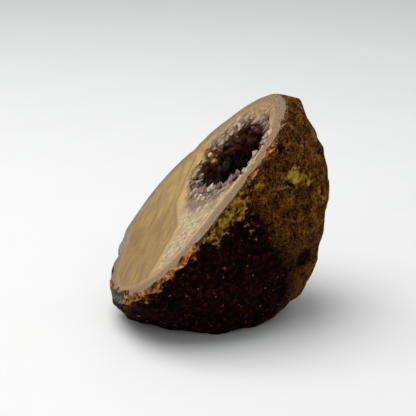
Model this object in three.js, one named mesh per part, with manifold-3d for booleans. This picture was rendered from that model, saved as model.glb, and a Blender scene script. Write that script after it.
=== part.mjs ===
// Geode half, resting on its underside with the sawn face sloping up and away.
// Millimetres, +Z up. The sawn face looks toward -Y and up, and its width runs along X.
//
// Shapes are worked out in the face's own frame: x across the face, y up its slope, z out of it.
// An angle round the face starts at the top of the slope and turns toward +x.

import * as THREE from 'three';
import { mergeVertices } from 'three/addons/utils/BufferGeometryUtils.js';
import Module from 'manifold-3d';

const wasm = await Module();
wasm.setup();

const DEGREE = Math.PI / 180;
const TURN = 2 * Math.PI;

// Where the sawn face lies: its slope, and its centre over the middle of the stone's own box
const FACE_SLOPE = 46.5 * DEGREE;
const FACE_CENTRE = new THREE.Vector3(0.43, -10.17, 54.4);

// Outline of the sawn face: mean radius, and waves as [times round, height, crest in degrees]
const RIM_RADIUS = 46.2;
const RIM_WAVES = [[1, 1.8, 178], [2, 7.8, -4], [3, 2.2, 11], [4, 0.5, -10]];
// Steps in that outline: [angle in degrees, height, half width in degrees]
const RIM_STEPS = [[-57, 1.1, 10], [-74, -1.1, 4], [-143, 1.8, 10], [-160, -0.8, 4]];

// Rounded back of the stone
const BODY_DEPTH = 64;
const BODY_FULLNESS = 1.85;
const BODY_HEART = new THREE.Vector3(0, 0, -0.4 * BODY_DEPTH);
const RIM_CALM = 0.1;

// Broad lumps and hollows of the rind: [angle in degrees, share of the way down, height, radius]
const LUMPS = [
  [180, 0.12, 4.0, 11],
  [180, 0.45, 4.2, 22],
  [165, 0.75, -1.0, 22],
  [0, 0.62, -2.6, 14],
  [0, 0.9, 1.2, 12],
  [5, 0.38, 2.0, 9],
  [0, 0.07, 4.0, 10],
  [-120, 0.45, 2.4, 15],
  [-70, 0.6, -2.0, 13],
  [-35, 0.3, 1.6, 11],
];

// Smaller features: the recess and ridge under the near rim, ledges, a knob, and pits
const FEATURES = [
  [82, 0.12, -3.0, 8],
  [73, 0.17, 1.6, 5],
  [38, 0.2, 1.2, 5],
  [27, 0.44, 1.0, 6],
  [12, 0.27, 1.4, 4],
  [61, 0.59, -2.2, 5],
  [120, 0.35, 1.4, 7],
  [-100, 0.25, -1.6, 6],
  [-150, 0.3, 1.6, 8],
];

// Weathered roughness of the rind: [size of a lump, height]
const ROUGHNESS = [[10, 0.9], [5, 0.6]];

// Weathered pits scattered over the rind
const PIT_COUNT = 16;
const PIT_DEPTH = 1.5;
const PIT_RADIUS = 2.8;
const PIT_HIGHEST = 0.15;
const PIT_LOWEST = 0.85;

// Chips off the sawn edge: [angle in degrees, width, half width in degrees]
const EDGE_BREAK = 0.5;
const CHIP_SLOPE = 0.7;
const CHIPS = [
  [20, 1.3, 4], [36, 2.2, 4], [54, 1.5, 5], [106, 1.6, 4], [116, 2.6, 4], [126, 1.8, 3], [135, 3.2, 4],
  [146, 2.4, 4], [156, 3.8, 5], [167, 4.2, 6], [178, 3.4, 4], [-170, 2.2, 4], [-158, 2.8, 4], [-146, 1.8, 4],
];

// Hollow in the upper part of the face, and the crystal crust that lines it
const HOLLOW_ACROSS = 0.6;
const HOLLOW_UP = 20;
const HOLLOW_RADIUS = 21.5;
const HOLLOW_WAVES = [[1, 1.2, -10], [2, 2.2, 42], [3, 0.9, 100]];
const HOLLOW_DEPTH = 26;
const HOLLOW_FULLNESS = 0.85;
const CRUST_GAP = 0.3;
const CRUST_THICKNESS = 1.2;

// Crystals: six-sided points whose sizes vary about these means, rooted inside the lining
const CRYSTAL_COUNT = 80;
const CRYSTAL_RADIUS = 3.0;
const CRYSTAL_ROOT = 0.4;
const CRYSTAL_POINT = 1.35;
const CRYSTAL_LEAN = 0.55;
const CRYSTAL_FOCUS = new THREE.Vector3(HOLLOW_ACROSS, HOLLOW_UP, 6);

// Turn from one crystal or pit to the next, which spreads them evenly
const GOLDEN_ANGLE = Math.PI * (3 - Math.sqrt(5));

// How finely the surfaces are cut into flat facets
const SEGMENTS = 90;
const RIND_RINGS = 19;
const HOLLOW_RINGS = 6;
const CRUST_SEGMENTS = 40;

const FACE_FRAME = new THREE.Matrix4()
  .makeRotationX(FACE_SLOPE)
  .setPosition(FACE_CENTRE);

// A point of the face's frame, from its angle, its distance out and its height over the face
function polar(angle, radius, height) {
  return new THREE.Vector3(radius * Math.sin(angle), radius * Math.cos(angle), height);
}

// Sum of cosine waves round the circle
function waves(angle, list) {
  return list.reduce((sum, [times, height, crest]) =>
    sum + height * Math.cos(times * (angle - crest * DEGREE)), 0);
}

// Sum of bell-shaped bumps round the circle
function bumps(angle, list) {
  return list.reduce((sum, [at, height, halfWidth]) => {
    const away = Math.atan2(Math.sin(angle - at * DEGREE), Math.cos(angle - at * DEGREE));
    return sum + height * Math.exp(-((away / (halfWidth * DEGREE)) ** 2));
  }, 0);
}

function rimRadius(angle) {
  return RIM_RADIUS + waves(angle, RIM_WAVES) + bumps(angle, RIM_STEPS);
}

// Width of the broken strip between the polished face and the rim
function chipWidth(angle) {
  return EDGE_BREAK + bumps(angle, CHIPS);
}

// Share of the way down at which the smooth body lies a given depth under the face
function downAt(depth) {
  return Math.asin((depth / BODY_DEPTH) ** (BODY_FULLNESS / 2)) / (Math.PI / 2);
}

// Smooth body: a superellipse from the rim, at 0, to the back's far point, at 1
function smoothBody(angle, down) {
  const fall = down * Math.PI / 2;
  const power = 2 / BODY_FULLNESS;
  const radius = rimRadius(angle) * Math.cos(fall) ** power;
  return polar(angle, radius, -BODY_DEPTH * Math.sin(fall) ** power);
}

// Irregular value from -1 to 1 that changes over about the given size
function uneven(point, size) {
  const x = point.x / size;
  const y = point.y / size;
  const z = point.z / size;
  const bendX = 1.7 * Math.sin(1.3 * y + 0.5);
  const bendY = 1.3 * Math.sin(1.7 * z + 2.1);
  const bendZ = 1.1 * Math.sin(1.1 * x + 4.2);
  return Math.sin(2.1 * x + bendX) * Math.sin(1.9 * y + bendY) * Math.sin(2.3 * z + bendZ);
}

// Height of one lump, or depth of one pit, at a point of the smooth body
function lumpHeight(point, [at, down, height, radius]) {
  const centre = smoothBody(at * DEGREE, down);
  return height * Math.exp(-point.distanceToSquared(centre) / (2 * radius * radius));
}

// Pits as entries of the same kind as the lumps
const PITS = Array.from({ length: PIT_COUNT }, (unused, index) => {
  const down = PIT_HIGHEST + (PIT_LOWEST - PIT_HIGHEST) * ((index + 0.5) / PIT_COUNT);
  return [index * GOLDEN_ANGLE / DEGREE, down, -PIT_DEPTH, PIT_RADIUS];
});

// Rind: the smooth body, pushed out or in by relief and roughness that die away at the rim
function rindPoint(angle, down) {
  const point = smoothBody(angle, down);
  const out = point.clone().sub(BODY_HEART).normalize();
  let height = 0;
  for (const relief of [...LUMPS, ...FEATURES, ...PITS]) height += lumpHeight(point, relief);
  for (const [size, swing] of ROUGHNESS) height += swing * uneven(point, size);
  return point.addScaledVector(out, height * Math.min(1, down / RIM_CALM));
}

function lipRadius(angle) {
  return HOLLOW_RADIUS + waves(angle, HOLLOW_WAVES);
}

// Bowl of the hollow, from its deepest point, at 0, to its lip, at 1, drawn in by a margin
function hollowPoint(angle, up, margin) {
  const rise = up * Math.PI / 2;
  const radius = (lipRadius(angle) - margin) * Math.sin(rise) ** HOLLOW_FULLNESS;
  const depth = (HOLLOW_DEPTH - margin) * Math.cos(rise) ** HOLLOW_FULLNESS;
  const point = polar(angle, radius, -depth);
  return point.add(new THREE.Vector3(HOLLOW_ACROSS, HOLLOW_UP, 0));
}

// Closed surface through rings of points, from a first pole to a last one
function closedSurface(firstPole, rings, lastPole, segments) {
  const points = [firstPole];
  for (const ring of rings) {
    for (let i = 0; i < segments; i++) points.push(ring((i / segments) * TURN));
  }
  points.push(lastPole);
  const at = (ring, i) => 1 + ring * segments + (i % segments);
  const last = rings.length - 1;
  const faces = [];
  for (let i = 0; i < segments; i++) {
    faces.push(0, at(0, i), at(0, i + 1));
    for (let ring = 0; ring < last; ring++) {
      faces.push(at(ring, i), at(ring + 1, i), at(ring + 1, i + 1));
      faces.push(at(ring, i), at(ring + 1, i + 1), at(ring, i + 1));
    }
    faces.push(at(last, i), points.length - 1, at(last, i + 1));
  }
  const positions = points.flatMap((point) => [point.x, point.y, point.z]);
  const geometry = new THREE.BufferGeometry();
  geometry.setAttribute('position', new THREE.Float32BufferAttribute(positions, 3));
  geometry.setIndex(faces);
  return geometry;
}

function solidFrom(geometry) {
  geometry.deleteAttribute('normal');
  geometry.deleteAttribute('uv');
  const merged = mergeVertices(geometry);
  return new wasm.Manifold(new wasm.Mesh({
    numProp: 3,
    vertProperties: merged.attributes.position.array,
    triVerts: Uint32Array.from(merged.index.array),
  }));
}

function geometryFrom(solid) {
  const mesh = solid.getMesh();
  const geometry = new THREE.BufferGeometry();
  geometry.setAttribute('position', new THREE.Float32BufferAttribute(mesh.vertProperties, 3));
  geometry.setIndex(Array.from(mesh.triVerts));
  geometry.computeVertexNormals();
  return geometry;
}

// Evenly counted rings of the rind, from its far point up to the broken edge
function rindRings() {
  return Array.from({ length: RIND_RINGS }, (unused, k) => (angle) => {
    const edge = downAt(CHIP_SLOPE * chipWidth(angle));
    const share = 1 - (k + 1) / RIND_RINGS;
    return rindPoint(angle, edge + (1 - edge) * share);
  });
}

function hollowRings(count, margin) {
  return Array.from({ length: count }, (unused, k) => (angle) =>
    hollowPoint(angle, (k + 1) / count, margin));
}

// Whole stone: rind, broken edge, sawn face and the bare bowl of the hollow, cut flat underneath
function makeStone() {
  const polishedEdge = (angle) => polar(angle, rimRadius(angle) - chipWidth(angle), 0);
  const bowl = hollowRings(HOLLOW_RINGS, 0).reverse();
  const rings = [...rindRings(), polishedEdge, ...bowl];
  const stone = closedSurface(rindPoint(0, 1), rings, hollowPoint(0, 0, 0), SEGMENTS);
  const groundSize = 300;
  const ground = new THREE.BoxGeometry(groundSize, groundSize, groundSize);
  ground.translate(0, 0, -groundSize / 2);
  return solidFrom(stone.applyMatrix4(FACE_FRAME)).subtract(solidFrom(ground));
}

// Filled bowl up to a flat lid, drawn in from the bare hollow by a margin
function bowlSolid(margin, lid) {
  const rings = hollowRings(HOLLOW_RINGS + 1, margin);
  const collar = (angle) => hollowPoint(angle, 1, margin).setZ(lid);
  const centre = new THREE.Vector3(HOLLOW_ACROSS, HOLLOW_UP, lid);
  const raised = lid > 0 ? [...rings, collar] : rings;
  return solidFrom(closedSurface(hollowPoint(0, 0, margin), raised, centre, CRUST_SEGMENTS));
}

// Repeatable value from 0 to 1 for one choice about one crystal
function chance(index, choice) {
  const value = Math.sin(index * 12.9898 + choice * 78.233) * 43758.5453;
  return value - Math.floor(value);
}

// One six-sided crystal, its axis along +Y: a root that widens from the origin, then a point
function crystalShape(radius, root, point) {
  const profile = [[0, 0], [radius, root], [0, root + point]];
  return new THREE.LatheGeometry(profile.map(([out, along]) => new THREE.Vector2(out, along)), 6);
}

// Crystal rooted in the bowl's wall and leaning in over the hollow
function makeCrystal(index) {
  const depthShare = 1 - (index + 0.5) / CRYSTAL_COUNT;
  const up = Math.acos(depthShare ** (1 / HOLLOW_FULLNESS)) / (Math.PI / 2);
  const foot = hollowPoint(index * GOLDEN_ANGLE, up, CRUST_GAP + CRYSTAL_ROOT);
  const lean = new THREE.Vector3(chance(index, 1), chance(index, 2), chance(index, 3));
  const inward = CRYSTAL_FOCUS.clone().sub(foot).normalize();
  inward.addScaledVector(lean.subScalar(0.5), CRYSTAL_LEAN).normalize();
  const radius = CRYSTAL_RADIUS * (0.8 + 0.45 * chance(index, 4));
  const point = radius * CRYSTAL_POINT * (0.75 + 0.6 * chance(index, 5));
  const crystal = crystalShape(radius, CRUST_THICKNESS, point);
  crystal.rotateY(chance(index, 6) * TURN);
  const turn = new THREE.Quaternion().setFromUnitVectors(new THREE.Vector3(0, 1, 0), inward);
  return solidFrom(crystal.applyQuaternion(turn).translate(foot.x, foot.y, foot.z));
}

// Crust: a thin lining with every crystal grown into it, sawn off level with the face
function makeCrust() {
  const bowl = bowlSolid(CRUST_GAP, 0);
  let crust = bowl.subtract(bowlSolid(CRUST_GAP + CRUST_THICKNESS, 1));
  for (let index = 0; index < CRYSTAL_COUNT; index++) crust = crust.add(makeCrystal(index));
  return crust.intersect(bowl);
}

const stoneMaterial = new THREE.MeshStandardMaterial({ color: 0x6b5230, roughness: 0.85, metalness: 0 });
const crystalMaterial = new THREE.MeshStandardMaterial({ color: 0x4a2f3a, roughness: 0.15, metalness: 0 });

const stone = new THREE.Mesh(geometryFrom(makeStone()), stoneMaterial);
stone.name = 'stone';

const crust = new THREE.Mesh(geometryFrom(makeCrust()).applyMatrix4(FACE_FRAME), crystalMaterial);
crust.name = 'crystal_crust';

const geode = new THREE.Group();
geode.add(stone, crust);

export default geode;
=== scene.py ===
"""Geode half: a rough brown stone, sawn and polished, with a hollow lined with dark crystals.

The shapes are worked out in millimetres in the sawn face's own frame: x across the face, y up its
slope, z out of it. An angle round the face starts at the top of the slope and turns toward +x.
Colours are written as display values of 0 to 255.
"""
import math

import bpy
import numpy as np
from bpy.props import FloatProperty, FloatVectorProperty, IntProperty, PointerProperty
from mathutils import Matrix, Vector


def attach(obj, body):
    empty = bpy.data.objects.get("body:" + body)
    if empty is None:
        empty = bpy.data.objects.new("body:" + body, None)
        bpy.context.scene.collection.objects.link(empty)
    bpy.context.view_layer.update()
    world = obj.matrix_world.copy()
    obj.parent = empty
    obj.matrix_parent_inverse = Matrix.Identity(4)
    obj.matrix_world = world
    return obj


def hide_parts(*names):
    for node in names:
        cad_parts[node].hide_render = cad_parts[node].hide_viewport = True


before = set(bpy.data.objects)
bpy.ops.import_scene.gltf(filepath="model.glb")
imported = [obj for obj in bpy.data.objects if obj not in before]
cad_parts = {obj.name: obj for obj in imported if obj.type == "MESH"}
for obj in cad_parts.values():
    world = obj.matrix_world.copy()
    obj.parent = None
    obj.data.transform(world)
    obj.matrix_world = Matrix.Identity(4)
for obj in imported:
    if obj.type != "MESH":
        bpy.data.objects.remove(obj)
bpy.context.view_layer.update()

bl_info = {
    "name": "Geode Half",
    "version": (1, 0, 0),
    "blender": (4, 5, 0),
    "location": "View3D > Sidebar > Geode",
    "description": "Builds a sawn geode half with a crystal-lined hollow",
    "category": "Object",
}

MM = 0.001
GOLDEN_ANGLE = math.pi * (3 - math.sqrt(5))

# Sawn face: slope, and centre in millimetres over the surface that the stone rests on
FACE_SLOPE = math.radians(46.5)
FACE_CENTRE = np.array([0.43, -10.17, 54.4])

# Outline of the face: mean radius, waves as (times round, height, crest in degrees), and steps as
# (angle in degrees, height, half width in degrees)
RIM_RADIUS = 46.2
RIM_WAVES = ((1, 1.8, 178), (2, 7.8, -4), (3, 2.2, 11), (4, 0.5, -10))
RIM_STEPS = ((-57, 1.1, 10), (-74, -1.1, 4), (-143, 1.8, 10), (-160, -0.8, 4))

# Rounded back: depth, fullness, the point that its relief is pushed away from, and the share of the
# way down over which the relief fades in below the rim
BODY_DEPTH = 64
BODY_FULLNESS = 1.85
BODY_HEART = np.array([0, 0, -0.4 * BODY_DEPTH])
RIM_CALM = 0.1

# Relief of the back, as (angle in degrees, share of the way down, height, radius)
LUMPS = (
    (180, 0.12, 4.0, 11), (180, 0.45, 4.2, 22), (165, 0.75, -1.0, 22), (0, 0.62, -2.6, 14),
    (0, 0.9, 1.2, 12), (5, 0.38, 2.0, 9), (0, 0.07, 4.0, 10), (-120, 0.45, 2.4, 15),
    (-70, 0.6, -2.0, 13), (-35, 0.3, 1.6, 11),
)
FEATURES = (
    (82, 0.12, -3.0, 8), (73, 0.17, 1.6, 5), (38, 0.2, 1.2, 5), (27, 0.44, 1.0, 6), (12, 0.27, 1.4, 4),
    (61, 0.59, -2.2, 5), (120, 0.35, 1.4, 7), (-100, 0.25, -1.6, 6), (-150, 0.3, 1.6, 8),
)
# Shallow swells that make up for what the weathering takes off the lower side and the tip
FULLER = (
    (150, 0.5, 1.5, 8), (142, 0.62, 1.8, 9), (128, 0.76, 1.8, 8), (88, 0.82, 1.2, 7), (-170, 0.08, 1.6, 5),
)
# Pits spread over the back: count, depth, radius, and their highest and lowest share of the way down
PIT_COUNT = 16
PIT_DEPTH = 1.5
PIT_RADIUS = 2.8
PIT_HIGHEST = 0.15
PIT_LOWEST = 0.85

# Roughness of the back as (size, height), and the bent waves along x, y and z whose product it is, as
# (pace, bend, pace of the bend, start)
ROUGHNESS = ((10, 0.9), (5, 0.6))
BENT_WAVES = ((2.1, 1.7, 1.3, 0.5), (1.9, 1.3, 1.7, 2.1), (2.3, 1.1, 1.1, 4.2))

# Weathering: sizes and shares of coarse grain, fine grain, pores and crevices, the level over which a
# pore opens, the sharpness of a crevice, and how far all of it stands proud of the smooth body
RELIEF_SIZES = (3.1, 1.5, 2.6, 8)
RELIEF_SHARES = (0.5, 0.55, 1.3, 0.7)
PORE_LEVEL = 0.25
CREVICE_SHARPNESS = 10
PROUD = 0.12

# Broken edge: chips as (angle in degrees, width, half width in degrees), width of the break between
# them, drop of a chip as a share of its width, least width anywhere, and where the polish starts past it
CHIPS = (
    (20, 1.3, 4), (36, 2.2, 4), (54, 1.5, 5), (106, 1.6, 4), (116, 2.6, 4), (126, 1.8, 3), (135, 3.2, 4),
    (146, 2.4, 4), (156, 3.8, 5), (167, 4.2, 6), (178, 3.4, 4), (-170, 2.2, 4), (-158, 2.8, 4),
    (-146, 1.8, 4),
)
EDGE_BREAK = 0.5
CHIP_SLOPE = 0.7
CHIP_LEAST = 0.15
POLISH_SETBACK = 0.3
# Relief of a chip: size beside the rind's, and the width of a chip from which it has its full depth
CHIP_RELIEF = 0.7
CHIP_RELIEF_WIDTH = 1.5

# Hollow in the upper part of the face
HOLLOW_CENTRE = np.array([0.6, 20, 0])
HOLLOW_RADIUS = 21.5
HOLLOW_WAVES = ((1, 1.2, -10), (2, 2.2, 42), (3, 0.9, 100))
HOLLOW_DEPTH = 26
HOLLOW_FULLNESS = 0.85
# Fall of the face beside the lip: depth, reach outward, and mean and greatest share of the depth
LIP_FALL = 1.1
LIP_REACH = 2.4
LIP_FALL_MEAN = 0.6
LIP_FALL_MOST = 2

# Noises that fray the sawn edge, the lip and the cut beside the lip: (size, swing, seed). The edge's is
# read on a circle, and a part of it also frays the edge between the chips. The frayed lip is set in a
# little, and the bowl takes up a share of its fraying.
EDGE_FRAY = ((3, 0.45, 5), (1.3, 0.25, 6))
EDGE_FRAY_CIRCLE = 48
EDGE_FRAY_LEAST = 0.3
LIP_FRAY = ((3.5, 0.9, 7), (1.6, 0.5, 8))
LIP_SETBACK = 0.2
BOWL_FRAY = 0.8
CUT_FRAY = ((1.3, 1, 9), (3.1, 1, 10))

# Stained places on the rind and the rim, and dark places that are partly painted shade: (angle in degrees,
# share of the way down, strength, radius)
OCHRE_PATCHES = (
    (60, 0.025, 0.9, 2.6), (70, 0.03, 1.0, 2.8), (80, 0.04, 1.1, 3.2), (88, 0.045, 1.0, 3.4),
    (97, 0.035, 0.9, 3.2), (74, 0.13, 0.5, 4), (40, 0.17, 2.2, 2.5), (36, 0.21, 1.4, 2.2),
    (33, 0.26, 1.2, 1.6), (28, 0.37, 1.8, 1.7), (25, 0.43, 1.4, 1.6), (21, 0.52, 1.6, 2),
    (165, 0.06, 0.5, 4), (-130, 0.2, 1.0, 6), (-60, 0.35, 1.0, 6),
)
RUST_PATCHES = (
    (19, 0.0, 0.9, 1.6), (24, 0.0, 0.7, 1.4), (38, 0.012, 1.1, 2.4), (43, 0.0, 0.7, 1.5),
    (51, 0.0, 1.0, 1.7), (56, 0.0, 1.0, 1.6), (108, 0.01, 0.9, 2.2), (114, 0.01, 0.8, 2),
    (123, 0.02, 0.8, 2.2), (133, 0.02, 0.8, 2.2), (143, 0.02, 0.7, 2.2), (154, 0.03, 0.8, 2.4),
    (-65, 0.0, 0.7, 3), (-177, 0.01, 0.7, 2.4),
)
ASH_PATCHES = ((166, 0.01, 1.5, 4.5), (176, 0.03, 0.8, 4), (-150, 0.0, 0.8, 5), (-110, 0.0, 0.7, 5))
# Dark places, partly the rind's own dark brown and partly painted shade on the lower front, in a dent and
# in a pit
SHADE_AND_DARK_PATCHES = (
    (36, 0.04, 1.3, 1.6), (84, 0.12, 1.0, 8), (61, 0.59, 1.3, 3), (108, 0.2, 0.8, 12), (125, 0.3, 0.9, 18),
    (150, 0.3, 0.9, 19), (102, 0.5, 0.5, 17), (-175, 0.3, 0.8, 18),
)

# Marks on the sawn face, and crystals in the hollow coloured pale gold as painted highlights: (up the
# slope, across, strength, radius)
FACE_RUST = ((9.5, -31.5, 0.9, 1.8), (13, -28.5, 1.1, 2), (15.5, -26, 0.8, 1.5))
FACE_GREY = ((-8.8, 34.9, 1.3, 1.9),)
FACE_PORES = ((43.4, -2.2, 1.2, 0.6), (-12.9, 0.1, 1.0, 0.4), (38, 8, 0.9, 0.7))
GLINT_CRYSTALS = ((14.5, -18.0, 1, 1.3), (14.5, -14.5, 1, 1.3))
# Share of a distance across, up and down that counts for a crystal with a painted highlight
GLINT_REACH = (1, 1, 0.4)

# Lines that bound the quartz, each as slope x across + up + start = 0
QUARTZ_BORDER = ((0.9, 11.5), (0.18, 7.6), (1.61, -11.5))

# Arcs round the rim, as (angle in degrees, strength, half width in degrees): rough grey strip along
# the far lower edge, pale line inside the near band, and freshly broken edge
STRIP_ARCS = ((-152, 1, 11), (-128, 0.5, 12), (-104, 0.5, 14))
LINE_ARCS = ((24, 0.9, 12), (50, 0.9, 22), (88, 0.9, 26), (126, 0.5, 20))
FRESH_ARCS = ((110, 0.9, 7), (122, 1, 9), (136, 1, 10), (150, 1, 10), (162, 0.6, 8), (-176, 0.8, 7))

# Layered band inside the rim: least width, and what the near side adds within a reach, both sides of
# its middle, that ends over a short fade; and a wider stretch on the far side
BAND_WIDTH = 6.2
NEAR_BAND = 4.4
NEAR_BAND_MIDDLE = math.radians(75)
NEAR_BAND_REACH = math.radians(80)
NEAR_BAND_FADE = math.radians(7)
WIDE_BAND = ((-158, 4, 22),)

# How finely the stone is cut: points round it, rings of the back, the chips, the face and the bowl,
# and the power by which the back's rings crowd toward the rim
SEGMENTS = 576
BACK_RINGS = 120
CHIP_RINGS = 7
FACE_RINGS = 26
BOWL_RINGS = 12
BACK_CROWDING = 1.1

# Crystals of the crust: the large ones, which are those of the solid but slimmer, and the small ones.
# A foot is its depth in from the wall, a pair is (least, most), and points are in parts of the radius.
LARGE_COUNT = 80
LARGE_RADIUS = 2.25
LARGE_SPREAD = (0.8, 1.25)
LARGE_FOOT = 0.7
LARGE_ROOT = 1.2
LARGE_POINT = 1.35
LARGE_POINT_SPREAD = (0.75, 1.35)
LARGE_LEAN = 0.55
SMALL_SPREAD = (0.75, 1.25)
SMALL_FOOT = -0.2
SMALL_ROOT = (1.0, 1.9)
SMALL_POINT = (1.5, 2.5)
SMALL_LEAN = 0.7
SMALL_FIRST = 500
# Point toward which the crystals grow, and height that none of them passes
CRYSTAL_FOCUS = np.array([0.6, 20, 6])
CRYSTAL_CEILING = -0.05

# One crystal: sides, points, and place of its tip among them; spread of its corners, height and stagger
# of its shaft, taper, and shift of its tip, in parts of the radius; and how far along x it may point
# before its sides are worked out from y
SIDES = 6
CRYSTAL_POINTS = 2 * SIDES + 2
TIP = CRYSTAL_POINTS - 1
CORNER_SPREAD = 0.16
SHAFT = 0.25
STAGGER = 0.22
STAGGER_MIDDLE = 0.3
SHAFT_TAPER = 0.97
TIP_OFFSET = 0.5
ALONG_X = 0.8

# Hashes that scatter values: factors of a point, of a seed, of an index and a choice, and their swing
POINT_HASH = np.array([127.1, 311.7, 74.7])
SEED_HASH = 19.19
CHANCE_HASH = (12.9898, 78.233)
HASH_SWING = 43758.5453

# Camera: turn and height of the photo's view, distance and size of a pixel at the stone
VIEW_AZIMUTH = math.radians(78)
VIEW_ELEVATION = math.radians(20)
VIEW_DISTANCE = 0.45
VIEW_TARGET = np.array([0.43, -4.47, 47.0]) * MM
PIXEL = 0.42 * MM
FRAME_PIXELS = 416
SENSOR = 36
CLIP_START = 0.01

# Stage in metres: half the floor's side, and place, aim and size of the light overhead
FLOOR_HALF = 3.0
KEY_PLACE = Vector((-0.07, -0.27, 0.97))
KEY_AIM = Vector((0, 0, 0.05))
KEY_SIZE = 0.8


def polar(angle, radius, height):
    """Points of the face's frame: x = radius sin angle, y = radius cos angle, z = height."""
    angle, radius, height = np.broadcast_arrays(angle, radius, height)
    return np.stack([radius * np.sin(angle), radius * np.cos(angle), height], axis=-1)


def nearest_turn(angle):
    """The same angles, from half a turn back to half a turn ahead."""
    return np.arctan2(np.sin(angle), np.cos(angle))


def waves(angle, entries):
    """Sum over the entries of height times cos(times round x (angle - crest))."""
    return sum(height * np.cos(times * (angle - math.radians(crest))) for times, height, crest in entries)


def bumps(angle, entries):
    """Sum over the entries of height times exp(-(angle from its place / half width) squared)."""
    total = 0
    for place, height, half_width in entries:
        away = nearest_turn(angle - math.radians(place))
        total = total + height * np.exp(-(away / math.radians(half_width)) ** 2)
    return total


def rim_radius(angle):
    """Radius of the face's outline: the mean radius with its waves and steps."""
    return RIM_RADIUS + waves(angle, RIM_WAVES) + bumps(angle, RIM_STEPS)


def lip_radius(angle):
    """Radius of the hollow's lip about its centre: the mean radius with its waves."""
    return HOLLOW_RADIUS + waves(angle, HOLLOW_WAVES)


def band_width(angle):
    """Least width, plus the near side's share by a logistic curve of the angle, plus a wide stretch."""
    away = np.abs(nearest_turn(angle - NEAR_BAND_MIDDLE))
    near = NEAR_BAND / (1 + np.exp((away - NEAR_BAND_REACH) / NEAR_BAND_FADE))
    return BAND_WIDTH + near + bumps(angle, WIDE_BAND)


def down_at(depth):
    """Share of the way down at which the smooth body lies a depth under the face."""
    return np.arcsin((depth / BODY_DEPTH) ** (BODY_FULLNESS / 2)) / (math.pi / 2)


def smooth_body(angle, down):
    """Superellipse: radius = rim x cos(fall)^p and depth = BODY_DEPTH x sin(fall)^p, p = 2 / fullness."""
    fall = np.clip(down, 0, 1) * math.pi / 2
    power = 2 / BODY_FULLNESS
    radius = rim_radius(angle) * np.clip(np.cos(fall), 0, 1) ** power
    return polar(angle, radius, -BODY_DEPTH * np.sin(fall) ** power)


def uneven(place, size):
    """Product of three sines along x, y and z, each bent by a sine of the next axis."""
    axes = np.moveaxis(place / size, -1, 0)
    product = 1
    for along, after, (pace, bend, bend_pace, start) in zip(axes, np.roll(axes, -1, axis=0), BENT_WAVES):
        product = product * np.sin(pace * along + bend * np.sin(bend_pace * after + start))
    return product


def lattice_noise(place, size, seed):
    """Values from -1 to 1: hashed corners of a cubic lattice, blended smoothly between them."""
    cell = place / size
    corner = np.floor(cell)
    share = cell - corner
    share = share * share * (3 - 2 * share)
    total = np.zeros(place.shape[:-1])
    for step in np.ndindex(2, 2, 2):
        step = np.array(step)
        hashed = np.sin((corner + step) @ POINT_HASH + seed * SEED_HASH) * HASH_SWING
        weight = np.prod(np.where(step, share, 1 - share), axis=-1)
        total += weight * (hashed - np.floor(hashed))
    return 2 * total - 1


def fray(place, entries):
    """Sum over the entries of swing times the lattice noise of their size and seed."""
    return sum(swing * lattice_noise(place, size, seed) for size, swing, seed in entries)


def heap(place, centre, height, radius):
    """Height times exp(-distance from the centre squared / (2 radius squared))."""
    return height * np.exp(-((place - centre) ** 2).sum(-1) / (2 * radius * radius))


def patches(place, entries):
    """Sum of heaps about places on the smooth body."""
    return sum(heap(place, smooth_body(math.radians(angle), down), height, radius)
               for angle, down, height, radius in entries)


def spots(place, entries):
    """Sum of heaps about places on the sawn face."""
    return sum(heap(place, np.array([across, up, 0]), height, radius)
               for up, across, height, radius in entries)


def pits():
    """Pits spread by the golden angle from high to low on the back, as entries like the lumps."""
    share = (np.arange(PIT_COUNT) + 0.5) / PIT_COUNT
    down = PIT_HIGHEST + (PIT_LOWEST - PIT_HIGHEST) * share
    angles = np.degrees(np.arange(PIT_COUNT) * GOLDEN_ANGLE)
    return tuple((angle, at, -PIT_DEPTH, PIT_RADIUS) for angle, at in zip(angles, down))


def weathering(place, size, depth):
    """Depth of the fine relief, less a little: grains from 0 to 1, open pores and thin crevices."""
    noises = [lattice_noise(place, part * size, seed) for seed, part in enumerate(RELIEF_SIZES, 1)]
    coarse, fine = 0.5 + 0.5 * noises[0], 0.5 + 0.5 * noises[1]
    pores = np.clip(noises[2] - PORE_LEVEL, 0, 1)
    crevices = (1 - np.abs(noises[3])) ** CREVICE_SHARPNESS
    layers = (coarse, fine, pores, crevices)
    return depth * sum(share * layer for share, layer in zip(RELIEF_SHARES, layers)) - PROUD


def rind_points(angle, down, depth):
    """The smooth body pushed out or in by its relief, then in by the weathering."""
    place = smooth_body(angle, down)
    out = place - BODY_HEART
    out /= np.linalg.norm(out, axis=-1, keepdims=True)
    height = patches(place, LUMPS + FEATURES + pits() + FULLER)
    for size, swing in ROUGHNESS:
        height = height + swing * uneven(place, size)
    height = height * np.minimum(1, down / RIM_CALM) - weathering(place, 1, depth)
    return place + out * height[..., None]


def hollow_points(angle, up, margin):
    """Bowl: radius = lip x sin(rise)^p and depth = HOLLOW_DEPTH x cos(rise)^p, p the fullness."""
    rise = up * math.pi / 2
    radius = (lip_radius(angle) - margin) * np.sin(rise) ** HOLLOW_FULLNESS
    depth = (HOLLOW_DEPTH - margin) * np.clip(np.cos(rise), 0, 1) ** HOLLOW_FULLNESS
    return polar(angle, radius, -depth) + HOLLOW_CENTRE


def to_part(place):
    """Turns points of the face's frame by its slope about x, moves them to its centre, in metres."""
    x, y, z = np.moveaxis(place, -1, 0)
    rise, run = math.sin(FACE_SLOPE), math.cos(FACE_SLOPE)
    turned = np.stack([x, y * run - z * rise, y * rise + z * run], axis=-1)
    return (turned + FACE_CENTRE) * MM


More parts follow.
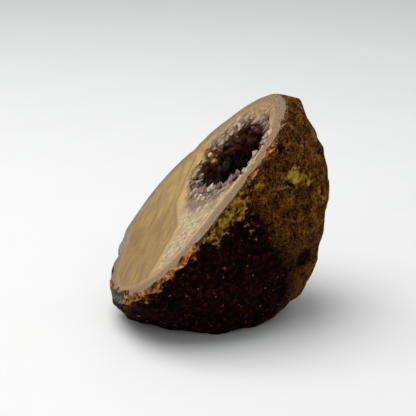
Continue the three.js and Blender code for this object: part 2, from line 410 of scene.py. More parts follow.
def closed_grid(rings, segments):
    """Triangles and quads of a closed surface: a first pole, rings of points, and a last pole."""
    around = np.arange(segments)
    ahead = (around + 1) % segments
    ring = 1 + np.arange(rings - 1)[:, None] * segments
    start, after = ring + around, ring + ahead
    quads = np.stack([start, start + segments, after + segments, after], axis=-1).reshape(-1, 4)
    last = 1 + (rings - 1) * segments
    pole = np.full(segments, last + segments)
    first_fan = np.stack([np.zeros(segments, int), 1 + around, 1 + ahead], axis=-1)
    last_fan = np.stack([last + around, pole, last + ahead], axis=-1)
    return first_fan, quads, last_fan


def add_object(name, data):
    """New object at the origin with its data, in the scene."""
    thing = bpy.data.objects.new(name, data)
    bpy.context.scene.collection.objects.link(thing)
    return thing


def new_mesh(name, points, faces, materials, slots=None):
    """Object from points in metres and face arrays, with each face's material by its slot."""
    mesh = bpy.data.meshes.new(name)
    mesh.from_pydata(points.tolist(), [], [face for group in faces for face in group.tolist()])
    for material in materials:
        mesh.materials.append(material)
    if slots is not None:
        mesh.polygons.foreach_set("material_index", slots.astype(np.int32))
    mesh.update()
    return add_object(name, mesh)


def store(piece, **fields):
    """Keeps values for each point as mesh attributes that the materials read."""
    for name, values in fields.items():
        layer = piece.data.attributes.new(name, "FLOAT", "POINT")
        layer.data.foreach_set("value", np.ascontiguousarray(values, dtype=np.float32).ravel())


def lip_distance(place):
    """Millimetres outside the hollow's lip, negative over the hollow."""
    away = place - HOLLOW_CENTRE
    return np.hypot(away[..., 0], away[..., 1]) - lip_radius(np.arctan2(away[..., 0], away[..., 1]))


def quartz_side(place):
    """Millimetres past the border of agate and quartz: least of a line and the greater of two more."""
    across, up = place[..., 0], place[..., 1]
    past = [(slope * across + up + start) / math.hypot(slope, 1) for slope, start in QUARTZ_BORDER]
    return np.minimum(past[0], np.maximum(past[1], past[2]))


def chip_rings(shoulder, polished, chip):
    """Rings in even steps from the rind to the polish, roughened most halfway between them."""
    step = (np.arange(CHIP_RINGS)[:, None, None] + 1) / (CHIP_RINGS + 1)
    chips = shoulder + (polished - shoulder) * step
    rough = np.sin(math.pi * step[..., 0]) * np.minimum(1, chip / CHIP_RELIEF_WIDTH)
    chips[..., 2] -= weathering(chips, CHIP_RELIEF, 1) * rough
    return chips


def face_rings(polished, lip):
    """Rings in even steps from the polished edge to the lip, which fall by exp(-distance / reach)."""
    step = np.arange(FACE_RINGS)[:, None, None] / (FACE_RINGS - 1)
    face = polished + (lip - polished) * step
    near_lip = np.exp(-np.clip(lip_distance(face), 0, None) / LIP_REACH)
    face[..., 2] -= LIP_FALL * near_lip * np.clip(LIP_FALL_MEAN + fray(face, CUT_FRAY), 0, LIP_FALL_MOST)
    return face


def stone_rings(depth):
    """Rings of the stone from the back's far point to the bowl's deepest point."""
    angle = np.arange(SEGMENTS) / SEGMENTS * 2 * math.pi
    ragged = fray(polar(angle, EDGE_FRAY_CIRCLE, 0), EDGE_FRAY)
    width = bumps(angle, CHIPS)
    chip = np.maximum(EDGE_BREAK + width * (1 + ragged) + EDGE_FRAY_LEAST * ragged, CHIP_LEAST)
    edge = down_at(CHIP_SLOPE * (EDGE_BREAK + width))
    share = 1 - (np.arange(BACK_RINGS) + 1)[:, None] / BACK_RINGS
    back = rind_points(angle[None, :], edge + (1 - edge) * share ** BACK_CROWDING, depth)
    polished = polar(angle, rim_radius(angle) - chip - POLISH_SETBACK, 0)
    outward = polar(angle, 1, 0)
    lip = hollow_points(angle, 1, 0)
    ragged_lip = outward * (fray(lip, LIP_FRAY) - LIP_SETBACK)[:, None]
    up = 1 - (np.arange(BOWL_RINGS) + 1)[:, None] / (BOWL_RINGS + 1)
    bowl = hollow_points(angle[None, :], up, 0) + BOWL_FRAY * ragged_lip * up[..., None]
    chips = chip_rings(back[-1], polished, chip)
    return np.concatenate([back, chips, face_rings(polished, lip + ragged_lip), bowl])


def build_stone(depth):
    """One closed surface over back, chips, sawn face and bowl, levelled where it rests."""
    rings = stone_rings(depth)
    first = rind_points(np.zeros(1), np.ones(1), depth)
    last = hollow_points(np.zeros(1), np.zeros(1), 0)
    place = np.concatenate([first, rings.reshape(-1, 3), last])
    points = to_part(place)
    points[:, 2] = np.maximum(points[:, 2], 0)
    # Rows of faces of each material, fans included
    rows = np.array([BACK_RINGS, CHIP_RINGS + 1, FACE_RINGS - 1, BOWL_RINGS + 1])
    slots = np.repeat(np.arange(len(rows)), rows * SEGMENTS)
    materials = [rind_material(), chip_material(), face_material(), bed_material()]
    stone = new_mesh("stone_finish", points, closed_grid(len(rings), SEGMENTS), materials, slots)
    angle = np.arctan2(place[:, 0], place[:, 1])
    inward = rim_radius(angle) - np.hypot(place[:, 0], place[:, 1])
    store(stone, rim_in=inward, band_share=inward / band_width(angle), quartz=quartz_side(place),
          lip_out=lip_distance(place), up_slope=place[:, 1], depth=-place[:, 2],
          strip=bumps(angle, STRIP_ARCS), line=bumps(angle, LINE_ARCS), fresh=bumps(angle, FRESH_ARCS),
          ash=patches(place, ASH_PATCHES), grey=spots(place, FACE_GREY), pore=spots(place, FACE_PORES),
          # dark holds the rind's dark places, which are partly painted shade
          ochre=patches(place, OCHRE_PATCHES), dark=patches(place, SHADE_AND_DARK_PATCHES),
          rust=patches(place, RUST_PATCHES) + spots(place, FACE_RUST))
    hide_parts("stone")
    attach(stone, "root")


def chance(index, choice, least=0.0, most=1.0):
    """Repeatable values from least to most: the fraction of a large sine of index and choice."""
    value = np.sin(index * CHANCE_HASH[0] + choice * CHANCE_HASH[1]) * HASH_SWING
    return least + (most - least) * (value - np.floor(value))


def crystal_feet(index, count, margin):
    """Feet on the bowl, a golden angle apart, with equal shares of the bowl's area."""
    share = 1 - (index + 0.5) / count
    up = np.arccos(share ** (1 / HOLLOW_FULLNESS)) / (math.pi / 2)
    return hollow_points(index * GOLDEN_ANGLE, up, margin)


def unit(vectors):
    """The same directions, each of length 1."""
    return vectors / np.linalg.norm(vectors, axis=-1, keepdims=True)


def grow(index, feet, radius, root, length, lean_by):
    """Six-sided crystals: a root that widens, an uneven shaft and a point set off its axis."""
    lean = np.stack([chance(index, choice, -0.5, 0.5) for choice in (1, 2, 3)], axis=-1)
    inward = unit(unit(CRYSTAL_FOCUS - feet) + lean_by * lean)
    helper = np.where(np.abs(inward[:, :1]) < ALONG_X, [[1.0, 0, 0]], [[0, 1.0, 0]])
    side = unit(np.cross(inward, helper))
    across = np.cross(inward, side)
    corner = np.arange(SIDES)
    turn = (chance(index, 6) * 2 * math.pi)[:, None] + corner * 2 * math.pi / SIDES
    spread = 1 + CORNER_SPREAD * chance(index[:, None], 10 + corner, -0.5, 0.5)
    ring = np.cos(turn)[..., None] * side[:, None] + np.sin(turn)[..., None] * across[:, None]
    ring = ring * (radius[:, None] * spread)[..., None]
    stagger = STAGGER * (chance(index, 7) - STAGGER_MIDDLE)
    shaft = SHAFT + stagger[:, None] * np.where(corner % 2, 1, -1)
    low = feet[:, None] + ring + inward[:, None] * root[:, None, None]
    high = feet[:, None] + ring * SHAFT_TAPER
    high = high + inward[:, None] * (root[:, None] + radius[:, None] * shaft)[..., None]
    offset = side * chance(index, 8, -0.5, 0.5)[:, None] + across * chance(index, 9, -0.5, 0.5)[:, None]
    tip = feet + inward * (root + length)[:, None] + offset * (TIP_OFFSET * radius)[:, None]
    return np.concatenate([feet[:, None], low, high, tip[:, None]], axis=1)


def crystal_faces(count):
    """Faces of every crystal: root fan, six sides and point fan, repeated by an offset."""
    low = 1 + np.arange(SIDES)
    low_ahead = 1 + (np.arange(SIDES) + 1) % SIDES
    high, high_ahead = low + SIDES, low_ahead + SIDES
    root = np.stack([np.zeros(SIDES, int), low_ahead, low], axis=-1)
    sides = np.stack([low, low_ahead, high_ahead, high], axis=-1)
    point = np.stack([high, high_ahead, np.full(SIDES, TIP)], axis=-1)
    offset = (np.arange(count) * CRYSTAL_POINTS)[:, None, None]
    return [(face[None] + offset).reshape(-1, face.shape[1]) for face in (root, sides, point)]


def build_crystals(count, small_radius):
    """All crystals as one mesh, sawn level with the face where they would pass it."""
    large = np.arange(LARGE_COUNT)
    large_radius = LARGE_RADIUS * chance(large, 4, *LARGE_SPREAD)
    large_length = large_radius * LARGE_POINT * chance(large, 5, *LARGE_POINT_SPREAD)
    large_feet = crystal_feet(large, LARGE_COUNT, LARGE_FOOT)
    small = np.arange(count)
    index = SMALL_FIRST + small
    radius = small_radius * chance(index, 4, *SMALL_SPREAD)
    length = radius * chance(index, 5, *SMALL_POINT)
    feet = crystal_feet(small, count, SMALL_FOOT)
    root = chance(index, 11, *SMALL_ROOT)
    place = np.concatenate([
        grow(large, large_feet, large_radius, np.full(LARGE_COUNT, LARGE_ROOT), large_length, LARGE_LEAN),
        grow(index, feet, radius, root, length, SMALL_LEAN),
    ])
    place[..., 2] = np.minimum(place[..., 2], CRYSTAL_CEILING)
    faces = crystal_faces(LARGE_COUNT + count)
    crystals = new_mesh("crystal_crust_finish", to_part(place.reshape(-1, 3)), faces, [crystal_material()])
    tips = place[:, TIP]
    tint = chance(np.concatenate([large, index]), 12)
    # Depth of each tip: deeper crystals turn near black, as painted shade in the hollow
    deep = np.clip(-tips[:, 2] / HOLLOW_DEPTH, 0, 1)
    # Crystals near two places on the left of the hollow, coloured pale gold as painted highlights
    painted_glint = spots(tips * GLINT_REACH, GLINT_CRYSTALS)
    each = {"tint": tint, "deep": deep, "up_slope": tips[:, 1], "painted_glint": painted_glint}
    store(crystals, **{name: np.repeat(values, CRYSTAL_POINTS) for name, values in each.items()})
    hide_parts("crystal_crust")
    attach(crystals, "root")


def linear(colour):
    """Opaque linear colour from display values: ((value / 255 + 0.055) / 1.055) to the power 2.4."""
    return (*(((value / 255 + 0.055) / 1.055) ** 2.4 for value in colour), 1)


class Nodes:
    """A node tree, with short calls for the nodes that the finishes use."""

    def __init__(self, tree):
        self.tree = tree

    def feed(self, node, sockets):
        """Links each named socket to another node's output, or sets it to a constant."""
        for key, value in sockets.items():
            if isinstance(value, bpy.types.NodeSocket):
                self.tree.links.new(value, node.inputs[key])
            else:
                node.inputs[key].default_value = value

    def add(self, kind, sockets=(), **settings):
        """New node with its settings and its sockets fed."""
        node = self.tree.nodes.new(kind)
        for key, value in settings.items():
            setattr(node, key, value)
        self.feed(node, dict(sockets))
        return node

    def calculate(self, operation, *values):
        """Result of a Math node."""
        return self.add("ShaderNodeMath", enumerate(values), operation=operation).outputs[0]

    def vectors(self, operation, *values):
        """Result of a Vector Math node."""
        return self.add("ShaderNodeVectorMath", enumerate(values), operation=operation).outputs[0]

    def plus(self, first, second):
        """First + second."""
        return self.calculate("ADD", first, second)

    def minus(self, first, second):
        """First - second."""
        return self.calculate("SUBTRACT", first, second)

    def times(self, first, second):
        """First x second."""
        return self.calculate("MULTIPLY", first, second)

    def greater(self, first, second):
        """The greater of the two."""
        return self.calculate("MAXIMUM", first, second)

    def scaled(self, vector, factor):
        """Vector x factor."""
        return self.add("ShaderNodeVectorMath", {0: vector, "Scale": factor}, operation="SCALE").outputs[0]

    def ramp(self, value, low, high, to_low, to_high, kind="SMOOTHSTEP"):
        """Step of a value from one range to another."""
        sockets = {"Value": value, "From Min": low, "From Max": high, "To Min": to_low, "To Max": to_high}
        return self.add("ShaderNodeMapRange", sockets, interpolation_type=kind).outputs["Result"]

    def rise(self, value, low, high, most=1.0):
        """Smooth step from 0 at low to most at high."""
        return self.ramp(value, low, high, 0.0, most)

    def fall(self, value, low, high, most=1.0):
        """Smooth step from most at low to 0 at high."""
        return self.ramp(value, low, high, most, 0.0)

    def colours(self, value, *stops):
        """Colour ramp with stops as (place, colour)."""
        node = self.add("ShaderNodeValToRGB", {"Fac": value})
        elements = node.color_ramp.elements
        while len(elements) < len(stops):
            elements.new(0.5)
        for element, (at, colour) in zip(elements, stops):
            element.position = at
            element.color = linear(colour)
        return node.outputs["Color"]

    def mix(self, share, first, second, blend="MIX"):
        """Blend of two colours, each another node's output or display values."""
        first, second = (linear(value) if isinstance(value, tuple) else value for value in (first, second))
        sockets = {0: share, 6: first, 7: second}
        return self.add("ShaderNodeMix", sockets, data_type="RGBA", blend_type=blend).outputs[2]

    def coat(self, colour, *coats):
        """Colour with coats over it in turn, each as (share, colour)."""
        for share, over in coats:
            colour = self.mix(share, colour, over)
        return colour


class Shader(Nodes):
    """A material's node tree, with the stone's own coordinates, attributes and textures."""

    def __init__(self, name):
        self.material = bpy.data.materials.new(name)
        self.material.use_nodes = True
        super().__init__(self.material.node_tree)
        self.principled = self.tree.nodes["Principled BSDF"]

    def place(self):
        """Object coordinates in millimetres."""
        return self.scaled(self.add("ShaderNodeTexCoord").outputs["Object"], 1 / MM)

    def face_place(self, stretch=(1, 1, 1), turn=0.0):
        """Object coordinates in millimetres, turned into the sawn face's frame and stretched."""
        sockets = {"Vector": self.place(), "Rotation": (-FACE_SLOPE, 0, turn)}
        turned = self.add("ShaderNodeMapping", sockets, vector_type="POINT").outputs[0]
        return self.vectors("MULTIPLY", turned, stretch)

    def attribute(self, name):
        """Value that the mesh keeps for each point."""
        return self.add("ShaderNodeAttribute", attribute_name=name).outputs["Fac"]

    def noise(self, vector, size, detail, roughness=0.55):
        """Noise with lumps of a size."""
        sockets = {"Vector": vector, "Scale": 1 / size, "Detail": detail, "Roughness": roughness}
        return self.add("ShaderNodeTexNoise", sockets).outputs["Fac"]

    def cells(self, vector, size, feature="F1"):
        """Cells of a size, with a colour for each, and distances."""
        return self.add("ShaderNodeTexVoronoi", {"Vector": vector, "Scale": 1 / size}, feature=feature)

    def bump(self, height, distance, **sockets):
        """Normal bent by a height, with the Bump node's other sockets by name."""
        sockets = {"Height": height, "Distance": distance, **sockets}
        return self.add("ShaderNodeBump", sockets).outputs["Normal"]

    def facets(self, vector, size, tilt):
        """Normal that leans another way in each cell, as the faces of coarse crystals do."""
        lean = self.vectors("SUBTRACT", self.cells(vector, size).outputs["Color"], (0.5, 0.5, 0.5))
        normal = self.add("ShaderNodeNewGeometry").outputs["Normal"]
        return self.vectors("NORMALIZE", self.vectors("ADD", normal, self.scaled(lean, tilt)))

    def finish(self, **sockets):
        """Feeds the Principled shader's sockets, named with _ for a space, and gives the material."""
        self.feed(self.principled, {key.replace("_", " "): value for key, value in sockets.items()})
        return self.material


def grain_group():
    """Shared grain: Place and Fineness give Grain, clustered Pores and Specks, from 0 to 1."""
    group = bpy.data.node_groups.get("mineral_grain")
    if group:
        return group
    group = bpy.data.node_groups.new("mineral_grain", "ShaderNodeTree")
    group.interface.new_socket("Place", in_out="INPUT", socket_type="NodeSocketVector")
    group.interface.new_socket("Fineness", in_out="INPUT", socket_type="NodeSocketFloat")
    for name in ("Grain", "Pores", "Specks"):
        group.interface.new_socket(name, in_out="OUTPUT", socket_type="NodeSocketFloat")
    nodes = Nodes(group)
    source = nodes.add("NodeGroupInput")

    def texture(kind, share, **sockets):
        """Texture at a share of the fineness."""
        scale = nodes.times(source.outputs["Fineness"], share)
        return nodes.add(kind, {"Vector": source.outputs["Place"], "Scale": scale, **sockets})

    noise = texture("ShaderNodeTexNoise", 1, Detail=6, Roughness=0.7)
    cluster = texture("ShaderNodeTexNoise", 0.22)
    cells = texture("ShaderNodeTexVoronoi", 0.6)
    grains = texture("ShaderNodeTexVoronoi", 0.42)
    parts = nodes.add("ShaderNodeSeparateColor", {"Color": grains.outputs["Color"]})
    holes = nodes.ramp(cells.outputs["Distance"], 0.2, 0.34, 1, 0, "LINEAR")
    some = nodes.ramp(cluster.outputs["Fac"], 0.42, 0.56, 0.3, 1, "LINEAR")
    dots = nodes.ramp(grains.outputs["Distance"], 0.06, 0.16, 1, 0, "LINEAR")
    chosen = nodes.ramp(parts.outputs["Red"], 0.68, 0.72, 0, 1, "LINEAR")
    pores, specks = nodes.times(holes, some), nodes.times(dots, chosen)
    nodes.add("NodeGroupOutput", {"Grain": noise.outputs["Fac"], "Pores": pores, "Specks": specks})
    return group


def grain(shader, fineness):
    """Grain, pores and specks of the shared group, at a fineness."""
    node = shader.add("ShaderNodeGroup", node_tree=grain_group())
    shader.feed(node, {"Place": shader.place(), "Fineness": fineness})
    return node.outputs["Grain"], node.outputs["Pores"], node.outputs["Specks"]


def rind_stains(shader, colour, mottled, ragged):
    """Ochre crust, solid where it is strong, and rust over the bare rind's colour."""
    spread = shader.times(shader.plus(mottled, ragged), 2.2)
    crust = shader.colours(ragged, (0.44, (24, 13, 4)), (0.51, (120, 79, 10)), (0.57, (184, 134, 36)),
                           (0.67, (224, 182, 84)))
    solid = shader.colours(ragged, (0.38, (112, 78, 18)), (0.48, (174, 131, 36)), (0.6, (222, 186, 92)))
    ochre = shader.attribute("ochre")
    crust = shader.mix(shader.rise(ochre, 1.0, 1.6), crust, solid)
    rusty = shader.colours(ragged, (0.42, (70, 30, 11)), (0.52, (146, 78, 11)), (0.6, (206, 142, 50)))
    rust = shader.attribute("rust")
    return shader.coat(colour, (shader.rise(shader.plus(ochre, spread), 2.7, 2.86), crust),
                       (shader.rise(shader.plus(rust, spread), 2.7, 2.95), rusty))


def rind_material():
    """Weathered rind: brown over reddish dark brown, with painted shade on the lower front, dark pores,
    pale specks, ochre and rust stains.
    """
    shader = Shader("rind")
    place = shader.place()
    fine, pores, specks = grain(shader, 0.75)
    broad = shader.noise(place, 20, 3)
    mottled = shader.noise(place, 5, 5, 0.65)
    ragged = shader.noise(place, 2.4, 5, 0.75)
    gritty = shader.noise(place, 0.6, 3, 0.6)
    gap = (20, 7, 4)

    base = shader.colours(broad, (0.35, (80, 36, 5)), (0.5, (114, 64, 11)), (0.65, (150, 96, 26)))
    patchy = shader.colours(mottled, (0.36, (44, 16, 5)), (0.5, (114, 64, 12)), (0.64, (190, 130, 46)))
    dark_and_shade_tone = shader.colours(ragged, (0.36, (8, 3, 2)), (0.52, (24, 6, 3)), (0.64, (80, 29, 6)))
    # Painted shade on the lower front, mixed with the rind's own dark brown, turns toward near black
    dark = shader.plus(shader.attribute("dark"), shader.times(mottled, 1.2))
    colour = shader.coat(
        shader.mix(0.65, base, patchy),
        (shader.fall(ragged, 0.4, 0.52, 0.9), gap),
        (shader.rise(fine, 0.54, 0.68, 0.6), (174, 128, 56)),
        (shader.fall(gritty, 0.4, 0.5, 0.6), gap),
        (shader.rise(gritty, 0.54, 0.66, 0.4), (178, 134, 66)),
        (shader.rise(dark, 0.85, 1.4), dark_and_shade_tone))
    ashen = shader.colours(ragged, (0.42, (34, 32, 28)), (0.6, (104, 102, 92)))
    ash = shader.plus(shader.attribute("ash"), fine)
    colour = shader.coat(
        rind_stains(shader, colour, mottled, ragged),
        (shader.rise(ash, 1.0, 1.3, 0.9), ashen),
        (shader.times(pores, 0.9), (8, 4, 3)),
        (shader.times(specks, 0.75), (176, 122, 62)))

    height = shader.plus(shader.minus(fine, pores), shader.times(ragged, 2.0))
    height = shader.plus(height, shader.times(gritty, 0.8))
    rough = shader.ramp(fine, 0.3, 0.7, 0.7, 0.95)
    normal = shader.bump(height, 1.2 * MM)
    return shader.finish(Base_Color=colour, Roughness=rough, Normal=normal, Specular_IOR_Level=0.02)


def chip_material():
    """Broken edge: fresh orange stone with cream grains, worn brown, rust and a grey strip."""
    shader = Shader("broken_edge")
    place = shader.place()
    fine, pores, _ = grain(shader, 1.0)
    mottled = shader.noise(place, 3.2, 4)
    ragged = shader.noise(place, 1.8, 4, 0.7)

    fresh = shader.colours(mottled, (0.38, (30, 13, 5)), (0.45, (116, 62, 16)), (0.53, (178, 116, 46)),
                           (0.62, (226, 178, 130)))
    fresh = shader.coat(fresh, (shader.fall(fine, 0.36, 0.55, 0.85), (50, 22, 7)), (pores, (30, 11, 5)))
    worn = shader.colours(ragged, (0.4, (32, 16, 6)), (0.52, (84, 55, 22)), (0.62, (136, 102, 50)))
    rusty = shader.colours(ragged, (0.42, (84, 38, 11)), (0.52, (170, 98, 20)), (0.62, (214, 152, 64)))
    grey = shader.colours(fine, (0.4, (30, 27, 19)), (0.62, (118, 112, 92)))
    broken = shader.plus(shader.attribute("fresh"), mottled)
    rust = shader.plus(shader.attribute("rust"), ragged)
    ash = shader.plus(shader.greater(shader.attribute("ash"), shader.attribute("strip")), fine)
    colour = shader.coat(
        worn,
        (shader.rise(broken, 0.75, 1.15), fresh),
        (shader.rise(rust, 0.8, 1.15), rusty),
        (shader.rise(ash, 1.0, 1.3, 0.9), grey))
    normal = shader.bump(shader.minus(fine, pores), 0.8 * MM)
    return shader.finish(Base_Color=colour, Roughness=0.75, Normal=normal, Specular_IOR_Level=0.25)


def agate_colour(shader, flat, warp):
    """Streaked tan agate, darker low on the face, with a brown stripe and a cream zone by the quartz."""
    streaks = shader.noise(shader.face_place((1, 0.2, 1), -math.radians(48)), 3.2, 5, 0.6)
    agate = shader.colours(streaks, (0.32, (134, 102, 48)), (0.5, (168, 136, 68)), (0.66, (180, 149, 82)))
    cloudy = shader.rise(shader.noise(flat, 11, 4), 0.44, 0.6, 0.45)
    agate = shader.mix(cloudy, agate, (134, 100, 52))
    low = shader.fall(shader.attribute("up_slope"), -34, -4, 0.8)
    agate = shader.mix(low, agate, (215.1, 206.4, 194.1), "MULTIPLY")
    near_quartz = shader.plus(shader.attribute("quartz"), shader.times(warp, 4.0))
    stripe = shader.times(shader.rise(near_quartz, -4.0, -2.4), shader.fall(near_quartz, -2.2, -0.4))
    grains = shader.noise(flat, 0.7, 3, 0.7)
    return shader.coat(
        agate,
        (shader.rise(near_quartz, -6.0, 1.0, 0.55), (206, 172, 114)),
        (shader.times(stripe, 0.75), (132, 94, 46)),
        (shader.fall(grains, 0.38, 0.48, 0.22), (120, 90, 48)),
        (shader.rise(grains, 0.54, 0.64, 0.25), (208, 178, 120)))


def lip_crystals(shader):
    """Coarse crystals cut across beside the hollow, each of one tone, with dark gaps between them."""
    grid = shader.face_place((1, 0.7, 1))
    size = 2.0
    tone = shader.add("ShaderNodeSeparateColor", {"Color": shader.cells(grid, size).outputs["Color"]})
    crystals = shader.colours(tone.outputs["Red"], (0.0, (56, 28, 16)), (0.25, (100, 62, 38)),
                              (0.5, (136, 102, 74)), (0.8, (172, 144, 112)), (1.0, (222, 206, 180)))
    edges = shader.cells(grid, size, "DISTANCE_TO_EDGE").outputs["Distance"]
    return shader.mix(shader.fall(edges, 0.02, 0.12, 0.8), crystals, (34, 18, 16))


def quartz_colour(shader, warp, fibres):
    """Fibrous cream and lilac quartz, browner at the hollow's lip and tan at the top of the face."""
    up = shader.attribute("up_slope")
    from_lip = shader.plus(shader.attribute("lip_out"), shader.times(shader.minus(warp, 0.5), 16.0))
    outer = shader.colours(fibres, (0.36, (108, 82, 58)), (0.46, (172, 144, 102)), (0.56, (208, 182, 140)),
                           (0.64, (246, 232, 208)))
    inner = shader.colours(fibres, (0.36, (48, 28, 22)), (0.46, (92, 60, 42)), (0.56, (132, 102, 76)),
                           (0.68, (198, 180, 158)))
    tan = shader.colours(fibres, (0.36, (102, 76, 48)), (0.48, (150, 115, 70)), (0.56, (174, 142, 88)),
                         (0.66, (198, 174, 134)))
    clouds = shader.noise(shader.face_place((1, 0.6, 1)), 3.2, 3)
    low = shader.times(shader.fall(up, 0, 12, 0.75), shader.ramp(from_lip, 6, 14, 1.0, 0.1))
    return shader.coat(
        inner,
        (shader.rise(from_lip, 0.5, 12.0), outer),
        (shader.rise(clouds, 0.52, 0.64, 0.5), (122, 92, 72)),
        (shader.fall(clouds, 0.3, 0.44, 0.55), (218, 202, 174)),
        (shader.times(low, shader.rise(clouds, 0.38, 0.5)), (112, 74, 60)),
        (shader.fall(from_lip, 1.0, 7.5, 0.85), lip_crystals(shader)),
        (shader.rise(shader.plus(up, shader.times(warp, 14.0)), 40, 50, 0.85), tan))


def band_colour(shader, flat, share, fine):
    """Layers of the band inside the rim by their share of its width, with a pale line and blotches."""
    layers = shader.colours(share, (0.0, (112, 82, 52)), (0.2, (132, 102, 70)), (0.45, (128, 97, 65)),
                            (0.6, (140, 108, 69)), (0.8, (160, 128, 76)), (1.0, (134, 101, 56)))
    line = shader.times(shader.rise(share, 0.74, 0.84), shader.fall(share, 0.94, 1.0))
    blotches = shader.noise(flat, 3.4, 5, 0.65)
    return shader.coat(
        layers,
        (shader.times(line, shader.attribute("line")), (208, 177, 126)),
        (shader.fall(fine, 0.38, 0.52, 0.4), (104, 78, 50)),
        (shader.rise(blotches, 0.54, 0.66, 0.4), (160, 126, 76)),
        (shader.fall(blotches, 0.36, 0.46, 0.6), (128, 98, 72)))


def face_marks(shader, colour, fine, fibres):
    """Grey gravel of the far lower edge and a grey spot, rust marks and open pores over a colour."""
    at_rim = shader.fall(shader.attribute("rim_in"), 5.6, 6.8)
    strip = shader.plus(shader.times(shader.attribute("strip"), at_rim), shader.attribute("grey"))
    gravel = shader.colours(fine, (0.35, (66, 60, 52)), (0.5, (128, 120, 110)), (0.65, (170, 164, 154)))
    rusty = shader.colours(fibres, (0.4, (124, 80, 20)), (0.6, (204, 154, 58)))
    rust = shader.plus(shader.attribute("rust"), shader.times(fibres, 1.6))
    return shader.coat(
        colour,
        (shader.rise(shader.plus(strip, fine), 0.95, 1.15, 0.85), gravel),
        (shader.rise(rust, 1.2, 1.6, 0.9), rusty),
        (shader.rise(shader.attribute("pore"), 0.4, 0.8), (70, 48, 30)))


def face_material():
    """Sawn face: streaked tan agate, coarse lilac and cream quartz, and a layered band at the rim."""
    shader = Shader("sawn_face")
    flat = shader.face_place()
    warp = shader.noise(flat, 12, 3)
    fine = grain(shader, 1.5)[0]
    fibres = shader.noise(shader.face_place((1.2, 0.5, 1)), 1.0, 6, 0.8)

    frayed = shader.times(shader.minus(shader.plus(fibres, warp), 1.0), 14.0)
    border = shader.plus(shader.attribute("quartz"), frayed)
    is_quartz = shader.rise(border, -2.0, 3.0)
    wander = shader.times(shader.minus(warp, 0.5), 0.35)
    share = shader.plus(shader.attribute("band_share"), wander)
    speckle = shader.noise(flat, 0.8, 3, 0.7)
    high = shader.rise(shader.attribute("up_slope"), 26, 38)
    speckled = shader.greater(high, shader.times(is_quartz, 0.6))
    colour = shader.coat(
        agate_colour(shader, flat, warp),
        (is_quartz, quartz_colour(shader, warp, fibres)),
        (shader.fall(share, 0.95, 1.03), band_colour(shader, flat, share, fine)),
        (shader.times(speckled, shader.rise(speckle, 0.54, 0.62, 0.6)), (202, 172, 118)),
        (shader.times(speckled, shader.fall(speckle, 0.38, 0.46, 0.6)), (88, 70, 48)))
    colour = face_marks(shader, colour, fine, fibres)

    coarse = shader.times(is_quartz, shader.rise(share, 1.0, 1.1, 0.5))
    facets = shader.facets(shader.face_place((1, 0.6, 1)), 1.1, coarse)
    normal = shader.bump(shader.times(fibres, coarse), 0.5 * MM, Strength=0.8, Normal=facets)
    rough = shader.ramp(border, -2, 3, 0.42, 0.34)
    return shader.finish(Base_Color=colour, Roughness=rough, Normal=normal)


def bed_material():
    """Wall of the hollow behind the crystals: coarse quartz, brown at the lip and dark below it, partly as
    painted shade in the hollow.
    """
    shader = Shader("crystal_bed")
    fine, pores, _ = grain(shader, 0.8)
    low = shader.colours(fine, (0.35, (8, 3, 3)), (0.6, (32, 14, 11)), (0.8, (64, 40, 32)))
    high = shader.colours(fine, (0.35, (70, 46, 36)), (0.6, (140, 112, 94)), (0.8, (196, 174, 150)))
    # Darker below the lip, partly as painted shade in the hollow
    colour = shader.mix(shader.rise(shader.attribute("depth"), 0.5, 6.0), high, low)
    normal = shader.bump(shader.plus(fine, pores), 0.6 * MM)
    return shader.finish(Base_Color=colour, Roughness=0.4, Normal=normal)


def crystal_material():
    """See-through quartz, pale brown at the lip, dark reddish brown lower down, near black deeper as
    painted shade, two pale gold as painted highlights.
    """
    shader = Shader("dark_quartz")
    tint = shader.attribute("tint")
    pale = shader.colours(tint, (0.0, (80, 44, 24)), (0.25, (134, 92, 56)), (0.5, (170, 138, 108)),
                          (0.8, (214, 190, 154)), (1.0, (246, 232, 208)))
    dusky = shader.colours(tint, (0.0, (26, 12, 12)), (0.3, (84, 28, 14)), (0.6, (148, 66, 34)),
                           (0.75, (124, 92, 78)), (0.9, (196, 172, 150)), (1.0, (240, 226, 204)))
    warm = shader.colours(tint, (0.0, (34, 13, 12)), (0.3, (112, 38, 22)), (0.65, (170, 84, 52)),
                          (0.85, (176, 120, 100)), (1.0, (226, 208, 198)))
    dusky = shader.mix(shader.rise(shader.attribute("up_slope"), 20, 32), dusky, warm)
    deep = shader.plus(shader.attribute("deep"), shader.times(tint, 0.22))
    colour = shader.coat(
        pale,
        (shader.rise(deep, 0.12, 0.34), dusky),
        # Painted shade: near black deeper in the hollow
        (shader.rise(deep, 0.28, 0.62, 0.95), (10, 4, 3)),
        # Painted highlight: two crystals in pale gold
        (shader.rise(shader.attribute("painted_glint"), 0.4, 0.6), (255, 214, 130)))
    absorb = shader.add("ShaderNodeVolumeAbsorption", {"Color": (0.48, 0.22, 0.16, 1), "Density": 200})
    shader.feed(shader.tree.nodes["Material Output"], {"Volume": absorb.outputs["Volume"]})
    return shader.finish(Base_Color=colour, Roughness=0.09, Transmission_Weight=0.45, IOR=1.54)


def floor_material():
    """Pale matt floor with a faint broad tone."""
    shader = Shader("pale_floor")
    tone = shader.noise(shader.place(), 60, 3)
    colour = shader.colours(tone, (0.3, (232.4, 232.4, 230.5)), (0.7, (234.9, 234.9, 233.0)))
    return shader.finish(Base_Color=colour, Roughness=0.7)


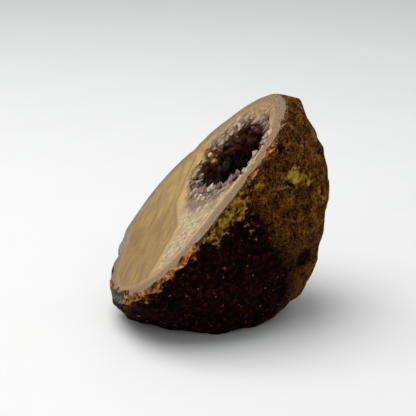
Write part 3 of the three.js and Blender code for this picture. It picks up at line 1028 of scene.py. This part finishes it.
def add_camera():
    """Camera back from the target by the view's turn and height, with a lens that gives its pixels."""
    back = np.array([math.sin(VIEW_AZIMUTH) * math.cos(VIEW_ELEVATION),
                     -math.cos(VIEW_AZIMUTH) * math.cos(VIEW_ELEVATION), math.sin(VIEW_ELEVATION)])
    data = bpy.data.cameras.new("camera")
    data.sensor_width = SENSOR
    data.lens = SENSOR * VIEW_DISTANCE / (PIXEL * FRAME_PIXELS)
    data.clip_start = CLIP_START
    camera = add_object("camera", data)
    camera.location = VIEW_TARGET + back * VIEW_DISTANCE
    camera.rotation_euler = (math.pi / 2 - VIEW_ELEVATION, 0, VIEW_AZIMUTH)
    bpy.context.scene.camera = camera


def add_key_light(power):
    """Square soft light overhead, turned so that its -Z points at the aim."""
    data = bpy.data.lights.new("key_light", "AREA")
    data.size = KEY_SIZE
    data.energy = power
    light = add_object("key_light", data)
    light.location = KEY_PLACE
    light.rotation_euler = (KEY_AIM - KEY_PLACE).to_track_quat("-Z", "Y").to_euler()


def add_floor():
    """Square floor at height 0."""
    corners = np.array([[-1, -1, 0], [1, -1, 0], [1, 1, 0], [-1, 1, 0]]) * FLOOR_HALF
    new_mesh("floor", corners, [np.array([[0, 1, 2, 3]])], [floor_material()])


def add_surroundings(colour, strength):
    """Even light from all round."""
    world = bpy.data.worlds.new("surroundings")
    world.use_nodes = True
    background = world.node_tree.nodes["Background"]
    background.inputs["Color"].default_value = (*colour, 1)
    background.inputs["Strength"].default_value = strength
    bpy.context.scene.world = world


class GeodeSettings(bpy.types.PropertyGroup):
    """Sizes and strengths that a user would change."""

    weathering: FloatProperty(
        name="Weathering", description="Depth of the rind's fine relief, in millimetres",
        default=0.6, min=0.0, max=1.5)
    crystal_count: IntProperty(
        name="Small Crystals", description="Crystals between the large ones",
        default=400, min=50, max=2000)
    crystal_radius: FloatProperty(
        name="Crystal Radius", description="Mean radius of a small crystal, in millimetres",
        default=1.75, min=0.5, max=4.0)
    key_power: FloatProperty(
        name="Key Light", description="Power of the soft light overhead",
        default=8.9, min=0.0, unit="POWER")
    sky_colour: FloatVectorProperty(
        name="Surroundings", description="Colour of the light all round",
        default=(0.9, 0.92, 0.95), subtype="COLOR")
    sky_strength: FloatProperty(
        name="Surroundings Strength", description="Strength of the light all round",
        default=0.5, min=0.0)


class GEODE_OT_stone(bpy.types.Operator):
    """Builds the stone: rind, broken edge, sawn face and the bare hollow"""

    bl_idname = "geode.stone"
    bl_label = "Stone"

    def execute(self, context):
        build_stone(context.scene.geode.weathering)
        return {"FINISHED"}


class GEODE_OT_crystals(bpy.types.Operator):
    """Builds the crust of crystals in the hollow"""

    bl_idname = "geode.crystals"
    bl_label = "Crystals"

    def execute(self, context):
        settings = context.scene.geode
        build_crystals(settings.crystal_count, settings.crystal_radius)
        return {"FINISHED"}


class GEODE_OT_stage(bpy.types.Operator):
    """Adds the pale floor, the soft lights and the camera"""

    bl_idname = "geode.stage"
    bl_label = "Stage"

    def execute(self, context):
        settings = context.scene.geode
        add_floor()
        add_key_light(settings.key_power)
        add_surroundings(settings.sky_colour, settings.sky_strength)
        context.scene.view_settings.view_transform = "Standard"
        add_camera()
        return {"FINISHED"}


OPERATORS = (GEODE_OT_stone, GEODE_OT_crystals, GEODE_OT_stage)


class GEODE_PT_panel(bpy.types.Panel):
    """Lists the geode's settings and operators"""

    bl_label = "Geode Half"
    bl_space_type = "VIEW_3D"
    bl_region_type = "UI"
    bl_category = "Geode"

    def draw(self, context):
        for name in GeodeSettings.__annotations__:
            self.layout.prop(context.scene.geode, name)
        for operator in OPERATORS:
            self.layout.operator(operator.bl_idname)


CLASSES = (GeodeSettings, *OPERATORS, GEODE_PT_panel)


def register():
    """Registers the classes and puts the settings on the scene."""
    for entry in CLASSES:
        bpy.utils.register_class(entry)
    bpy.types.Scene.geode = PointerProperty(type=GeodeSettings)


def unregister():
    """Takes back what register did."""
    del bpy.types.Scene.geode
    for entry in reversed(CLASSES):
        bpy.utils.unregister_class(entry)


def main():
    """Registers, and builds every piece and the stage."""
    register()
    bpy.ops.geode.stone()
    bpy.ops.geode.crystals()
    bpy.ops.geode.stage()


if __name__ == "__main__":
    main()
